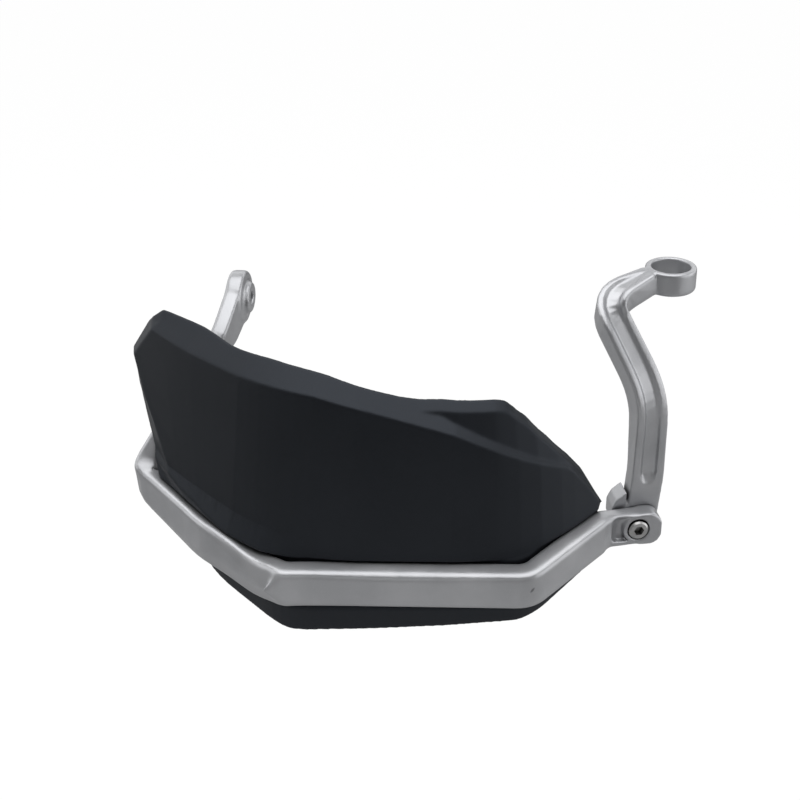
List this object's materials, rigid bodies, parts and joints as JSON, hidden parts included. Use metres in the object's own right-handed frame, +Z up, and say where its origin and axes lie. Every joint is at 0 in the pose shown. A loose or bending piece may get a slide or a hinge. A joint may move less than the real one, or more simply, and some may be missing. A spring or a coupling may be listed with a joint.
{
  "type": "motorcycle hand guard",
  "caption": "Right-hand motorcycle hand guard: cast bar from the handlebar's end round the hand to a bolted arm with a clamp ring, and a moulded deflector screwed on from behind.",
  "frame": {"origin": "centre of the bolt hole in the bar-end eye, on the face that seats against the handlebar's end", "axes": "+X inboard along the handlebar, +Y back to the rider, +Z up"},
  "size_m": [0.2838, 0.1399, 0.1754],
  "materials": {
    "cast_silver": "satin silver paint over cast aluminium",
    "moulded_black": "matte, with a fine moulded grain",
    "steel": "plain, lightly brushed"
  },
  "bodies": {
    "root": {"guard_bar": "cast_silver", "shield": "moulded_black", "mount_arm": "cast_silver", "lug_bolt": "steel", "lug_washer": "steel", "lug_nut": "steel", "shield_screw_1": "steel", "shield_screw_2": "steel", "shield_screw_3": "steel", "shield_screw_4": "steel", "shield_washer_1": "steel", "shield_washer_2": "steel", "shield_washer_3": "steel", "shield_washer_4": "steel", "shield_spacer_1": "steel", "shield_spacer_2": "steel", "shield_spacer_3": "steel", "shield_spacer_4": "steel"}
  },
  "joints": []
}
